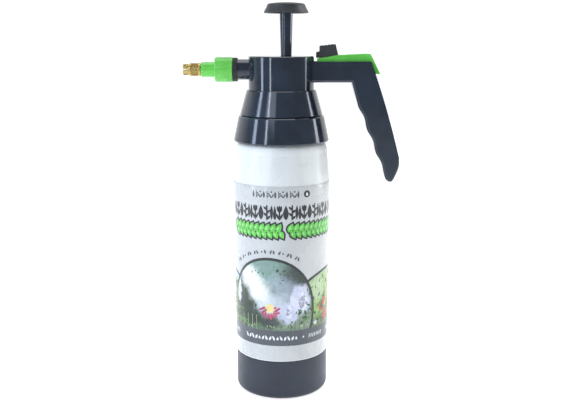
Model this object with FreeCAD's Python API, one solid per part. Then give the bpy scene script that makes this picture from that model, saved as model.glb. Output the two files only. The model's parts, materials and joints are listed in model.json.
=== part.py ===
"""Hand mister: pump-pressure bottle with a trigger head. Millimetres, +Z up.

The origin is the centre of the base's underside. The bottle's axis is Z, the nozzle points to -X
and the handle to +X.
"""
import FreeCAD, Part
import math
import os

V = FreeCAD.Vector
X_AXIS = V(1, 0, 0)
Y_AXIS = V(0, 1, 0)
Z_AXIS = V(0, 0, 1)

# general clearances and walls
looseGap = 0.3          # between parts that move past each other
runningGap = 0.05       # radial, between a shaft and its bore
mouldedWall = 2.4       # thick mouldings: housing, handle, collar
bottleWall = 1.6

# base cup and bottle
baseHeight = 34.6
baseRadius = 40.3
baseEdge = 4.5
bottleStep = 0.1        # bottle's radius over the cup's, where it comes out of the cup
bottleFlare = 1.4       # how much wider it gets up to its widest
shoulderInset = 2.3     # from the widest in to the shoulder
neckInset = 9.5         # from the shoulder in to the neck's root
neckBaseZ = 223.8
shoulderDrop = 10.8     # shoulder below the neck's base
widestDrop = 40.8       # widest radius below the neck's base
neckWall = 3.5
neckHeight = 12.9
labelDrop = 35.8        # label's top below the neck's base
labelThickness = 0.25

# neck thread
neckPitch = 4.0
neckThreadHeight = 1.8
neckThreadLength = 8.5
neckThreadWidth = 2.2
neckThreadRise = 2.2    # its start above the neck's base

# screw collar and the plate that it clamps
collarOverhang = 1.5    # collar's lower edge outside the shoulder
collarLean = 4.2        # how much narrower its top is
collarSkirt = 2.3       # how far it hangs below the neck's base
collarPlate = 2.1
gasketThickness = 1.5
plateThickness = 2.8
spigotInset = 2.4       # from the neck's root in to the spigot through the collar
plugSkirt = 3.0         # how far the plate reaches into the mouth
screwInset = 5.5        # from the spigot in to the deck screws
screwRadius = 1.25
screwHeadRadius = 2.75
screwHeadHeight = 1.6
screwPost = 4.0         # height of the posts that take the deck screws
crossLength = 2.8
crossWidth = 0.6

# head housing
coneInset = 1.5         # from the collar's top in to the cone
coneStep = 1.8          # ledge between the cone's top and the head
coneHeight = 21.5
headRadius = 27.9
headHeight = 26.1
headWall = 2.2
capThickness = 2.0
capSkirt = 2.3          # how far the cap reaches into the head
capSkirtWall = 1.8

# plunger pump
pumpOffset = 4.2        # the pump stands nearer to the handle than the bottle's axis
barrelRadius = 12.0
barrelWall = 2.0
barrelLength = 95.0
pumpStroke = 35.0
rodRadius = 4.6
rodTopRadius = 5.6
knobRimRadius = 18.9
knobTopRadius = 15.5
knobHeight = 7.2        # rim to the edge of its top
knobDome = 1.1
knobHollow = 4.2        # depth of its underside's hollow
knobHub = 9.0
pistonHeight = 10.0
pistonNeck = 5.2
sealSeatRise = 2.4
sealSeatHeight = 4.0
rodEndRadius = 3.0
footFloor = 2.4
footStem = 1.2
footCage = 7.0

# liquid valve and outlet
valveRadius = 4.4
valveBore = 3.3
stemRadius = 1.8
valveSpacing = 7.2      # valve's axis outside the barrel
riserSpacing = 6.4      # riser's axis beyond the valve's
riserRadius = 2.8
valveHeight = 22.0
valveLink = 14.0        # link to the riser above the valve's foot
valveSeatHeight = 1.5
valveFoot = 3.0
valveCapDepth = 2.0
inletRadius = 3.2
inletBore = 1.5
inletLength = 9.0
passage = 1.4
elbowRadius = 3.6
springWire = 0.35
springTurns = 5
pipeRadius = 2.4
pipeBore = 1.3
nozzleRise = 16.8       # outlet axis above the cone
stubRadius = 8.7
stubLength = 9.2
stubBore = 4.5
outletPitch = 2.5
outletThreadHeight = 0.9
outletThreadRoot = 7.0
outletThreadLength = 9.1
outletThreadWidth = 1.2
outletRidge = 7.0
nutRidge = 5.0
nutMesh = 0.35          # how deep the nut's ridge reaches over the root
gasketRingLength = 3.8
gasketRingRadius = 10.0
nutRadius = 10.45
nutLength = 15.1
nutWall = 2.4
washerThickness = 1.0
holderRadius = 6.5
holderLength = 11.7
brassRadius = 5.4
brassLength = 10.1
noseRadius = 4.55
noseLength = 5.2
sprayPitch = 1.5
sprayThreadRoot = 3.3
sprayThreadHeight = 0.6
sprayThreadWidth = 0.7
sprayThreadLength = 6.0
sprayBore = 4.3
coreRadius = 2.2
noseBore = 2.6
noseSlot = 1.5
dipTubeRadius = 3.0
dipTubeWall = 0.8
strainerHeight = 12.0
strainerRadius = 4.6
strainerRise = 9.0      # above the bottle's floor

# handle
handleWidth = 20.0
beamDepth = 17.5
beamDrop = 2.4          # beam's top below the cap seam
handleReach = 75.6      # rear top corner
cornerReach = 59.5      # inner corner under the beam
gripLean = 25.7         # how far the grip's rear edge leans out
gripDrop = 83.6         # rear edge's length along Z
fingerWaves = 3
fingerDepth = 1.5
gripEdge = 2.2
ribThickness = 1.6
hollowEnd = 0.93        # share of the finger edge that the hollow runs along
bossRadius = 3.2
coverThickness = 2.1

# lever and lock
pinRadius = 1.5
pinSetback = 9.1        # pin behind the head's wall
pinDepth = 5.4          # pin below the beam's top
leverWall = 2.0
leverGap = 2.6          # lever's front to the head's wall
leverRise = 2.5         # its top over the beam, at the front
leverKneeRise = 5.3
leverRearRise = 6.4
leverKnee = 17.4        # from its front to its knee
flapDrop = 9.8
forkThickness = 3.0
forkBand = 3.4
lockWidth = 13.0
lockRise = 3.1          # its underside over the beam
lockHeight = 11.4
lockToe = 2.9
lockLength = 13.3
lockTravel = 3.5
lockFootGap = 1.0       # lock's foot to the lever's walls
toeGap = 1.6            # lock's toe to the head's wall

# radii that follow
bottleRadiusLow = baseRadius + bottleStep
bottleRadiusHigh = bottleRadiusLow + bottleFlare
shoulderRadius = bottleRadiusHigh - shoulderInset
neckRootRadius = shoulderRadius - neckInset
collarBottomRadius = shoulderRadius + collarOverhang
collarTopRadius = collarBottomRadius - collarLean
spigotRadius = neckRootRadius - spigotInset
screwCircle = spigotRadius - screwInset
coneBottomRadius = collarTopRadius - coneInset
coneTopRadius = headRadius + coneStep

# heights that follow
shoulderZ = neckBaseZ - shoulderDrop
bottleWidestZ = neckBaseZ - widestDrop
labelTopZ = neckBaseZ - labelDrop
labelLowZ = baseHeight + 1.4
stepZ = baseHeight + 0.6
mouthZ = neckBaseZ + neckHeight
plateZ = mouthZ + gasketThickness
plateTopZ = plateZ + plateThickness
deckZ = plateTopZ + collarPlate + 2 * looseGap
floorZ = deckZ + mouldedWall + looseGap
coneTopZ = deckZ + coneHeight
seamZ = coneTopZ + headHeight
headTopZ = seamZ + capThickness
nozzleZ = coneTopZ + nozzleRise
beamTopZ = seamZ - beamDrop
beamBottomZ = beamTopZ - beamDepth
pinX = headRadius + pinSetback
pinZ = beamTopZ - pinDepth
collarBottomZ = neckBaseZ - collarSkirt
collarCeilingZ = plateTopZ + looseGap
collarTopZ = collarCeilingZ + collarPlate
neckRidgeZ = neckBaseZ + neckThreadRise
valveSeatZ = floorZ + valveFoot
plugZ = valveSeatZ + valveSeatHeight
stemFootZ = plugZ + 3
valveTopZ = floorZ + valveHeight
valveCapZ = valveTopZ - valveCapDepth
pistonTopZ = seamZ - pumpStroke - looseGap
pistonBottomZ = pistonTopZ - pistonHeight
rimZ = headTopZ + pumpStroke + looseGap + 0.8
rodTopZ = rimZ + 4

# places that follow
barrelBottomZ = seamZ - barrelLength
valveX = pumpOffset - barrelRadius - valveSpacing
riserX = valveX - riserSpacing
stubEnd = headRadius + stubLength
threadEnd = stubEnd + gasketRingLength + outletThreadLength
nutRear = stubEnd + gasketRingLength + 0.2
outletRidgeStart = stubEnd + gasketRingLength + 1.0
nutFront = nutRear + nutLength
washerRear = threadEnd + runningGap
holderRear = washerRear + washerThickness
holderFront = nutFront + holderLength
brassFront = holderFront + brassLength
noseFront = brassFront + noseLength
channelHalf = handleWidth / 2 - mouldedWall + 0.1
leverHalf = channelHalf - looseGap
leverHollowHalf = leverHalf - leverWall
lockFootHalf = leverHollowHalf - lockFootGap
postHalf = lockFootHalf - 2.0
pinLength = handleWidth - 2.0
wallInset = mouldedWall + fingerDepth
forkTopZ = pinZ + 1.5
stemHeadZ = forkTopZ + 0.4


def revolve(points, x=0.0):
    """Solid of revolution about Z from (radius, height) points."""
    wire = Part.makePolygon([V(r, 0, z) for r, z in points + points[:1]])
    solid = Part.Face(wire).revolve(V(0, 0, 0), Z_AXIS, 360)
    solid.translate(V(x, 0, 0))
    return solid


def tube(outer, inner, low, high, x=0.0):
    body = Part.makeCylinder(outer, high - low, V(x, 0, low))
    if inner > 0:
        body = body.cut(Part.makeCylinder(inner, high - low + 2, V(x, 0, low - 1)))
    return body


def box(x0, x1, halfWidth, z0, z1):
    return Part.makeBox(x1 - x0, 2 * halfWidth, z1 - z0, V(x0, -halfWidth, z0))


def ring(radius, thickness, z, x=0.0):
    """O-ring of the given mid radius and section radius."""
    return Part.makeTorus(radius, thickness, V(x, 0, z))


def slab(points, halfWidth):
    """Plate in the XZ plane from (x, z) points, centred on y = 0."""
    wire = Part.makePolygon([V(x, -halfWidth, z) for x, z in points + points[:1]])
    return Part.Face(wire).extrude(V(0, 2 * halfWidth, 0))


def threadRidge(rootRadius, crestRadius, pitch, length, width, start):
    """Right-hand helical ridge from rootRadius to crestRadius, sunk a little into its wall."""
    sink = 0.4 if crestRadius > rootRadius else -0.4
    tip = 0.45 * width
    helix = Part.makeHelix(pitch, length, rootRadius)
    corners = [(rootRadius - sink, -width / 2), (crestRadius, -tip / 2),
               (crestRadius, tip / 2), (rootRadius - sink, width / 2)]
    section = Part.makePolygon([V(r, 0, z) for r, z in corners + corners[:1]])
    ridge = Part.Wire(helix).makePipeShell([section], True, True)
    ridge.translate(V(0, 0, start))
    return ridge


def alongNozzle(shape):
    """Turn a shape built up +Z, with z as the distance from the axis of the bottle, to the outlet."""
    shape.rotate(V(0, 0, 0), V(0, 1, 0), -90)
    shape.translate(V(0, 0, nozzleZ))
    return shape


def bottleOuter(inset=0.0):
    """Face between the axis and the bottle's side, moved inwards by inset."""
    lowRadius = bottleRadiusLow - inset
    footRadius = baseRadius - mouldedWall - inset
    floorLow = mouldedWall + 0.4 + inset
    neckRadius = neckRootRadius - (neckWall if inset else 0)
    top = mouthZ + (1 if inset else 0)
    step = stepZ + 2 * inset
    wide = V(bottleRadiusHigh - inset, 0, bottleWidestZ)
    shoulder = V(shoulderRadius - inset, 0, shoulderZ)
    neckIn = V(neckRadius + 4, 0, neckBaseZ - 0.6 - inset)
    shoulderMid = V((wide.x + shoulder.x) / 2 + 0.5, 0, (wide.z + shoulder.z) / 2)
    flareMid = V(shoulder.x - 1.2, 0, shoulderZ + 0.58 * (neckIn.z - shoulderZ))
    spine = [V(0, 0, floorLow + 5), V(0.5 * footRadius, 0, floorLow + 4.2),
             V(0.8 * footRadius, 0, floorLow), V(footRadius - 4, 0, floorLow)]
    edges = [Part.LineSegment(a, b).toShape() for a, b in zip(spine, spine[1:])]
    corner = V(footRadius - 1.2, 0, floorLow + 1.2)
    edges.append(Part.Arc(spine[-1], corner, V(footRadius, 0, floorLow + 4)).toShape())
    side = [V(footRadius, 0, floorLow + 4), V(footRadius, 0, step - 0.5), V(lowRadius, 0, step), wide]
    edges += [Part.LineSegment(a, b).toShape() for a, b in zip(side, side[1:])]
    edges.append(Part.Arc(wide, shoulderMid, shoulder).toShape())
    edges.append(Part.Arc(shoulder, flareMid, neckIn).toShape())
    close = [neckIn, V(neckRadius, 0, neckBaseZ - inset), V(neckRadius, 0, top), V(0, 0, top), spine[0]]
    edges += [Part.LineSegment(a, b).toShape() for a, b in zip(close, close[1:])]
    return Part.Face(Part.Wire(edges))


def makeBottle():
    outer = bottleOuter().revolve(V(0, 0, 0), Z_AXIS, 360)
    crest = neckRootRadius + neckThreadHeight
    ridge = threadRidge(neckRootRadius, crest, neckPitch, neckThreadLength, neckThreadWidth, neckRidgeZ)
    inner = bottleOuter(bottleWall).revolve(V(0, 0, 0), Z_AXIS, 360)
    return outer.fuse(ridge).cut(inner)


def makeBaseCup():
    cup = Part.makeCylinder(baseRadius, baseHeight)
    bottomEdge = [e for e in cup.Edges if e.BoundBox.ZMax < 0.01]
    cup = cup.makeFillet(baseEdge, bottomEdge)
    cup = cup.cut(tube(baseRadius - mouldedWall + 0.1, 0, mouldedWall, baseHeight + 1))
    groove = tube(baseRadius - 10, baseRadius - 12, -1, 0.8)
    return cup.cut(groove)


def makeLabel():
    slope = (bottleRadiusHigh - bottleRadiusLow) / (bottleWidestZ - stepZ)
    lowIn = bottleRadiusLow + slope * (labelLowZ - stepZ) + 0.02
    highIn = bottleRadiusHigh + 0.02
    lowOut = lowIn + labelThickness
    highOut = highIn + labelThickness
    return revolve([(lowIn, labelLowZ), (lowOut, labelLowZ), (highOut, bottleWidestZ),
                    (highOut, labelTopZ), (highIn, labelTopZ), (highIn, bottleWidestZ)])


def makeScrewCollar():
    bore = neckRootRadius + neckThreadHeight + 0.5
    hole = spigotRadius + 0.4
    lean = (collarBottomRadius - collarTopRadius) / (collarTopZ - collarBottomZ)
    inside = collarBottomRadius - mouldedWall
    rootZ = collarCeilingZ - 2
    shell = revolve([(hole, collarCeilingZ), (hole, collarTopZ), (collarTopRadius - 0.8, collarTopZ),
                     (collarTopRadius, collarTopZ - 0.8), (collarBottomRadius, collarBottomZ + 1.2),
                     (collarBottomRadius - 0.5, collarBottomZ), (inside, collarBottomZ),
                     (inside - lean * (rootZ - collarBottomZ), rootZ),
                     (bore + mouldedWall, rootZ), (bore + mouldedWall, neckBaseZ + 1.6),
                     (bore, neckBaseZ + 1.6), (bore, collarCeilingZ)])
    crest = neckRootRadius + 0.5
    ridge = threadRidge(bore, crest, neckPitch, neckThreadLength - 0.5, neckThreadWidth,
                        neckRidgeZ + neckPitch / 2)
    return shell.fuse(ridge)


def deckScrewSpots():
    spots = []
    for angle in (60, 180, 300):
        turn = math.radians(angle)
        spots.append((screwCircle * math.cos(turn), screwCircle * math.sin(turn)))
    return spots


def makeMouthPlate():
    skirt = neckRootRadius - neckWall - looseGap
    skirtZ = mouthZ - plugSkirt
    rim = neckRootRadius + 0.1
    plate = revolve([(0, plateZ), (skirt - 1.2, plateZ), (skirt - 1.2, skirtZ), (skirt, skirtZ),
                     (skirt, plateZ), (rim, plateZ), (rim, plateTopZ),
                     (spigotRadius, plateTopZ), (spigotRadius, deckZ), (0, deckZ)])
    plate = plate.cut(tube(barrelRadius, 0, plateZ - 5, deckZ + 1, pumpOffset))
    plate = plate.cut(tube(barrelRadius + 1.6, 0, deckZ - 1.6, deckZ + 1, pumpOffset))
    plate = plate.cut(tube(inletRadius, 0, plateZ - 1, deckZ + 1, valveX))
    plate = plate.cut(tube(inletRadius + 1.4, 0, deckZ - 1.4, deckZ + 1, valveX))
    for x, y in deckScrewSpots():
        plate = plate.cut(Part.makeCylinder(screwRadius + 0.2, 10, V(x, y, plateZ - 1)))
    return plate


def crossScrew(length, headHeight, seat, up):
    """Cross-head screw: the underside of its head is at seat, its shank runs towards up."""
    shank = Part.makeCylinder(screwRadius, length, V(0, 0, 0))
    head = Part.makeCylinder(screwHeadRadius, headHeight, V(0, 0, -headHeight))
    arm = crossLength / 2
    side = crossWidth / 2
    depth = 0.6 * headHeight
    cross = Part.makeBox(crossLength, crossWidth, depth, V(-arm, -side, -headHeight))
    cross = cross.fuse(Part.makeBox(crossWidth, crossLength, depth, V(-side, -arm, -headHeight)))
    screw = shank.fuse(head).cut(cross)
    screw.Placement = FreeCAD.Placement(seat, FreeCAD.Rotation(Z_AXIS, up))
    return screw


def makeDeckScrews():
    length = floorZ - plateZ + screwPost - 1
    spots = [V(x, y, plateZ) for x, y in deckScrewSpots()]
    return Part.makeCompound([crossScrew(length, screwHeadHeight, spot, Z_AXIS) for spot in spots])


def gripPoint(along, out):
    """Point of the grip's scalloped edge: a share along the line of crests, and out from it."""
    high = V(cornerReach + 5.7, 0, beamBottomZ - 20.4)
    low = V(cornerReach + 28.9, 0, beamBottomZ - 79.2)
    line = low - high
    across = V(-line.z, 0, line.x).normalize()
    return high + line * along + across * out


def fingerEdge():
    """Front edge of the grip: round its tip from the heel, then up the scallops."""
    heel = V(handleReach + gripLean, 0, beamTopZ - gripDrop)
    crest = gripPoint(1, 0)
    points = [heel, heel + V(-0.5, 0, -6.6), crest + V(9.6, 0, -0.8), crest + V(5.6, 0, -5.8),
              crest + V(1.9, 0, -4.2)]
    for quarter in range(4 * fingerWaves + 1):
        depth = fingerDepth * (1 - math.cos(quarter * math.pi / 2)) / 2
        points.append(gripPoint(1 - quarter / (4 * fingerWaves), depth))
    curve = Part.BSplineCurve()
    curve.interpolate(points)
    return curve.toShape()


def rearArc(inset=0.0):
    start = V(handleReach - inset, 0, beamTopZ)
    end = V(handleReach + gripLean - inset, 0, beamTopZ - gripDrop)
    middle = (start + end) / 2 + V(1.2, 0, 0.4)
    return Part.Arc(start, middle, end).toShape()


def handleOutline():
    front = headRadius - 8
    edges = [Part.LineSegment(V(front, 0, beamTopZ), V(handleReach, 0, beamTopZ)).toShape(), rearArc(),
             fingerEdge()]
    corners = [gripPoint(0, 0), V(cornerReach, 0, beamBottomZ), V(front, 0, beamBottomZ),
               V(front, 0, beamTopZ)]
    edges += [Part.LineSegment(a, b).toShape() for a, b in zip(corners, corners[1:])]
    return Part.Face(Part.Wire(edges))


def gripHollow():
    """Hollow of the grip and of the channel over the beam, open above and behind."""
    high = gripPoint(0, wallInset)
    low = gripPoint(hollowEnd, wallInset)
    front = headRadius + 1.2
    floor = beamBottomZ + mouldedWall
    points = [(front, beamTopZ + 4), (front, floor), (cornerReach + 3.0, floor), (high.x, high.z),
              (low.x, low.z), (low.x + 20, low.z), (handleReach + 30, beamTopZ + 4)]
    return slab(points, channelHalf)


def gripRibs():
    ribs = []
    half = ribThickness / 2
    for share in (0.12, 0.5, 0.85):
        start = gripPoint(share, wallInset)
        ribs.append(box(start.x - 1, start.x + 9.5, channelHalf + 0.2, start.z - half, start.z + half))
    return ribs


def makeHandle():
    face = handleOutline()
    face.translate(V(0, -handleWidth / 2, 0))
    handle = face.extrude(V(0, handleWidth, 0))
    soft = []
    for edge in handle.Edges:
        bounds = edge.BoundBox
        flat = bounds.YMax - bounds.YMin < 0.01
        if flat and bounds.ZMax < beamTopZ - 1 and bounds.XMax > headRadius + 1:
            soft.append(edge)
    return handle.makeFillet(gripEdge, soft)


def coverScrewSpots():
    return [gripPoint(0.04, 0).z, gripPoint(0.6, 0).z]


def rearX(z):
    """Where the grip's rear edge is at a height."""
    share = (beamTopZ - z) / gripDrop
    return handleReach + gripLean * share + 4 * 1.2 * share * (1 - share)


def screwBosses():
    bosses = []
    for z in coverScrewSpots():
        share = (gripPoint(0, 0).z - z) / (gripPoint(0, 0).z - gripPoint(1, 0).z)
        start = V(gripPoint(share, 0).x + 2.5, 0, z)
        length = rearX(z) - mouldedWall - 1.5 - start.x
        bosses.append(Part.makeCylinder(bossRadius, length, start, X_AXIS))
    return bosses


def makeHousing():
    outer = revolve([(0, deckZ), (coneBottomRadius - 0.6, deckZ), (coneBottomRadius, deckZ + 0.8),
                     (coneTopRadius, coneTopZ - 0.6), (coneTopRadius - 0.6, coneTopZ),
                     (headRadius, coneTopZ), (headRadius, seamZ), (0, seamZ)])
    inner = revolve([(0, floorZ), (coneBottomRadius - headWall - 0.4, floorZ),
                     (headRadius - headWall, coneTopZ - 2), (headRadius - headWall, seamZ + 1),
                     (0, seamZ + 1)])
    stub = tube(stubRadius, 0, headRadius - 6, stubEnd)
    stub = stub.fuse(tube(outletThreadRoot, 0, stubEnd - 1, threadEnd))
    crest = outletThreadRoot + outletThreadHeight
    stub = stub.fuse(threadRidge(outletThreadRoot, crest, outletPitch, outletRidge, outletThreadWidth,
                                 outletRidgeStart))
    body = outer.fuse(makeHandle()).fuse(alongNozzle(stub))
    body = body.cut(inner).cut(gripHollow())
    window = box(headRadius - 6, headRadius + 2, channelHalf, pinZ - 4, beamTopZ)
    body = body.cut(window)
    body = body.cut(alongNozzle(tube(stubBore, 0, headRadius - 8, threadEnd + 1)))
    body = body.cut(tube(barrelRadius, 0, deckZ - 1, floorZ + 1, pumpOffset))
    body = body.cut(tube(inletRadius, 0, deckZ - 1, floorZ + 1, valveX))
    body = body.cut(makeLeverPin())
    postHeight = floorZ - deckZ + screwPost
    for x, y in deckScrewSpots():
        post = Part.makeCylinder(screwRadius + 1.2, postHeight, V(x, y, deckZ))
        body = body.fuse(post).cut(Part.makeCylinder(screwRadius, postHeight - 0.5, V(x, y, deckZ - 0.1)))
    for rib in gripRibs() + screwBosses():
        body = body.fuse(rib)
    for z in coverScrewSpots():
        body = body.cut(Part.makeCylinder(screwRadius, 12, V(rearX(z) - 13, 0, z), X_AXIS))
    return body


def makeTopCap():
    skirt = headRadius - headWall - 0.1
    skirtZ = seamZ - capSkirt
    cap = revolve([(0, seamZ), (skirt - capSkirtWall, seamZ), (skirt - capSkirtWall, skirtZ),
                   (skirt, skirtZ), (skirt, seamZ), (headRadius, seamZ), (headRadius, headTopZ - 0.7),
                   (headRadius - 0.7, headTopZ), (0, headTopZ)])
    cap = cap.cut(tube(rodTopRadius + 0.4, 0, seamZ - 1, headTopZ + 1, pumpOffset))
    notchX = headRadius + toeGap - lockTravel - 2 * looseGap
    notch = box(notchX, headRadius + 2, lockWidth / 3, seamZ, headTopZ + 1)
    return cap.cut(notch)


def makeBarrel():
    inner = barrelRadius - barrelWall
    barrel = tube(barrelRadius, inner, barrelBottomZ, seamZ, pumpOffset)
    barrel = barrel.fuse(tube(barrelRadius + 0.9, barrelRadius - 0.5, floorZ, floorZ + 2, pumpOffset))
    floor = tube(inner + 0.5, footStem, barrelBottomZ, barrelBottomZ + footFloor, pumpOffset)
    for turn in range(4):
        angle = math.pi / 4 + turn * math.pi / 2
        spot = V(pumpOffset + 5 * math.cos(angle), 5 * math.sin(angle), barrelBottomZ - 1)
        floor = floor.cut(Part.makeCylinder(1.1, 5, spot))
    return barrel.fuse(floor)


def makeFootValve():
    z = barrelBottomZ
    top = z + footFloor
    return revolve([(0, z - 1.4), (3, z - 1.4), (7.8, z - 0.6), (8.0, z), (footStem, z), (footStem, top),
                    (footStem + 0.8, top + 0.2), (footStem, top + 1.8), (0, top + 2.2)], pumpOffset)


def makeFootCage():
    z = barrelBottomZ
    outer = barrelRadius
    low = z - footCage
    cage = tube(outer, outer - 1.5, low, z, pumpOffset)
    cage = cage.fuse(tube(outer - 1, 4, low, low + 1.8, pumpOffset))
    for turn in range(3):
        slot = Part.makeBox(2 * outer + 2, 5, 2.6, V(-outer - 1, -2.5, z - 4.2))
        slot.rotate(V(0, 0, 0), Z_AXIS, 60 * turn)
        slot.translate(V(pumpOffset, 0, 0))
        cage = cage.cut(slot)
    return cage


def makeRod():
    low = pistonBottomZ - 1
    return revolve([(0, low), (rodEndRadius, low), (rodEndRadius, pistonTopZ), (rodRadius, pistonTopZ),
                    (rodRadius, headTopZ - 2), (rodTopRadius, rimZ + 1), (rodTopRadius, rodTopZ),
                    (0, rodTopZ)], pumpOffset)


def makePiston():
    outer = barrelRadius - barrelWall - looseGap
    low = pistonBottomZ + sealSeatRise
    high = low + sealSeatHeight
    return revolve([(rodEndRadius, pistonBottomZ), (outer, pistonBottomZ), (outer, low), (pistonNeck, low),
                    (pistonNeck, high), (outer, high), (outer, pistonTopZ), (rodEndRadius, pistonTopZ)],
                   pumpOffset)


def makePistonSeal():
    outer = barrelRadius - barrelWall - runningGap
    z = pistonBottomZ + sealSeatRise
    top = z + sealSeatHeight
    hub = pistonNeck + 1.6
    return revolve([(pistonNeck, z), (outer - 1.4, z), (outer, z + 0.6), (outer, z + 1.6),
                    (outer - 1.2, top - 0.6), (outer - 1.8, top - 0.6), (outer - 1.8, z + 1.6),
                    (hub, z + 1.6), (hub, top), (pistonNeck, top)], pumpOffset)


def makeKnob():
    top = rimZ + knobHeight
    hubLow = rimZ + 0.8
    hollow = rimZ + knobHollow
    knob = revolve([(0, hubLow), (knobHub, hubLow), (knobHub, hollow), (knobRimRadius - 4.3, hollow - 0.6),
                    (knobRimRadius - 1.8, rimZ - 0.2), (knobRimRadius - 0.8, rimZ - 0.8),
                    (knobRimRadius, rimZ), (knobTopRadius + 1.1, hollow), (knobTopRadius + 0.5, top - 1.2),
                    (knobTopRadius, top - 0.4), (knobTopRadius - 1, top), (0.5 * knobTopRadius, top + 0.8),
                    (0, top + knobDome)], pumpOffset)
    return knob.cut(tube(rodTopRadius, 0, rimZ - 2, rodTopZ, pumpOffset))


def makeValveBody():
    body = tube(valveRadius, valveBore, floorZ, valveTopZ, valveX)
    body = body.fuse(tube(valveRadius, inletBore, floorZ, valveSeatZ, valveX))
    body = body.fuse(tube(inletRadius, inletBore, plateZ - 0.2, floorZ + 1, valveX))
    barb = dipTubeRadius - dipTubeWall
    body = body.fuse(tube(barb, inletBore, plateZ - inletLength, plateZ + 1, valveX))
    low = floorZ + valveLink
    riser = tube(riserRadius, 0, low - 2, nozzleZ, riserX)
    elbow = alongNozzle(tube(elbowRadius, 0, -riserX - 2.7, -riserX + 3.0))
    link = Part.makeCylinder(passage + 0.8, riserSpacing, V(riserX, 0, low), X_AXIS)
    body = body.fuse(riser).fuse(elbow).fuse(link)
    body = body.cut(tube(passage, 0, low, nozzleZ, riserX))
    body = body.cut(Part.makeCylinder(passage, riserSpacing, V(riserX, 0, low), X_AXIS))
    body = body.cut(alongNozzle(tube(pipeRadius, 0, -riserX - 1.2, -riserX + 4)))
    return body.cut(tube(valveBore, 0, valveSeatZ, valveTopZ + 1, valveX))


def makeOutletTube():
    rear = -riserX - 1.0
    pipe = tube(pipeRadius, pipeBore, rear, threadEnd)
    return alongNozzle(pipe.fuse(tube(stubBore, pipeBore, threadEnd - 1.8, threadEnd)))


def makeDipTube():
    bottom = mouldedWall + strainerRise + 5
    return tube(dipTubeRadius, dipTubeRadius - dipTubeWall, bottom, plateZ - 0.2, valveX)


def makeStrainer():
    low = mouldedWall + strainerRise
    top = low + strainerHeight
    cup = tube(strainerRadius, dipTubeRadius, top - 5, top, valveX)
    cup = cup.fuse(tube(strainerRadius, strainerRadius - 1, low, top - 4, valveX))
    cup = cup.fuse(tube(strainerRadius, 0, low, low + 1, valveX))
    for turn in range(4):
        slot = Part.makeBox(12, 1.4, 4.5, V(-6, -0.7, low + 1.8))
        slot.rotate(V(0, 0, 0), Z_AXIS, 45 * turn)
        slot.translate(V(valveX, 0, 0))
        cup = cup.cut(slot)
    return cup


def makeValveSeat():
    return tube(valveBore, inletBore, valveSeatZ, plugZ, valveX)


def makeValvePlug():
    outer = valveBore - looseGap
    low = plugZ + 0.1
    return revolve([(0, low), (inletBore + 0.1, low), (outer, low + 1.1), (outer, stemFootZ),
                    (0, stemFootZ)], valveX)


def makeValveStem():
    top = stemHeadZ + 1.5
    stem = tube(stemRadius, 0, stemFootZ, top, valveX)
    return stem.fuse(tube(stemRadius + 1.2, 0, stemHeadZ, top, valveX))


def makeValveSpring():
    """Coil spring between the plug and the valve's cap, with its ends in the plane of each."""
    low = stemFootZ + springWire
    length = valveCapZ - springWire - low
    radius = valveBore - springWire - 0.25
    helix = Part.makeHelix(length / springTurns, length, radius)
    section = Part.Wire(Part.makeCircle(springWire, V(radius, 0, 0), V(0, 1, 0.2)))
    coil = Part.Wire(helix).makePipeShell([section], True, True)
    coil.translate(V(valveX, 0, low))
    return coil


def makeValveCap():
    top = valveTopZ
    cap = tube(valveBore, stemRadius + runningGap, valveCapZ, top, valveX)
    cap = cap.fuse(tube(valveBore + 0.1, stemRadius + runningGap, top, top + 3, valveX))
    return cap.cut(tube(stemRadius + 1.2, 0, top + 1.2, top + 4, valveX))


def pinBore():
    start = V(pinX, -handleWidth / 2, pinZ)
    return Part.makeCylinder(pinRadius + runningGap, handleWidth, start, Y_AXIS)


def makeLever():
    frontX = headRadius + leverGap
    cornerX = handleReach - 0.4
    kneeX = frontX + leverKnee
    frontZ = beamTopZ + leverRise
    kneeZ = beamTopZ + leverKneeRise
    rearZ = beamTopZ + leverRearRise
    flapZ = beamTopZ - flapDrop
    top = [(frontX, frontZ), (kneeX, kneeZ), (cornerX - 3.5, rearZ), (cornerX - 0.6, rearZ - 0.2),
           (cornerX + 0.4, rearZ - 1.2), (cornerX + 8.0, flapZ), (cornerX + 7.2, flapZ - 0.8),
           (cornerX + 4.2, flapZ - 0.3)]
    under = [(cornerX - 1.0, beamTopZ + 0.6), (cornerX - 2.6, beamTopZ - 4.5), (pinX + 8, beamTopZ - 8.0),
             (pinX + 3.2, pinZ - 3.4), (pinX - 3.4, pinZ - 3.4), (frontX, pinZ + 1.0)]
    lever = slab(top + under, leverHalf)
    low = flapZ - 2.2
    hollow = [(frontX - 1, frontZ - leverWall - 0.3), (kneeX, kneeZ - leverWall - 0.1),
              (cornerX - 4.5, rearZ - leverWall), (cornerX - 4.5, low), (frontX - 1, low)]
    lever = lever.cut(slab(hollow, leverHollowHalf))
    slot = box(pinX - 3.6, pinX + 6.2, postHalf + 0.4, beamTopZ, beamTopZ + 9)
    return lever.cut(slot).cut(pinBore())


def makeLiftFork():
    low = forkTopZ - forkThickness
    inner = barrelRadius + 1.1
    loop = tube(inner + forkBand, inner, low, forkTopZ, pumpOffset)
    tongue = box(valveX - 2.8, pumpOffset - inner - 1, 3.6, low, forkTopZ)
    tail = box(pumpOffset + inner + 1.5, pinX + 4, leverHollowHalf, pinZ - 2.3, pinZ + 2.3)
    fork = loop.fuse(tongue).fuse(tail)
    fork = fork.cut(box(valveX - 4, valveX, stemRadius + 0.4, low - 1, forkTopZ + 1))
    fork = fork.cut(tube(stemRadius + 0.4, 0, low - 1, forkTopZ + 1, valveX))
    return fork.cut(pinBore())


def makeLeverPin():
    return Part.makeCylinder(pinRadius, pinLength, V(pinX, -pinLength / 2, pinZ), Y_AXIS)


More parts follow.
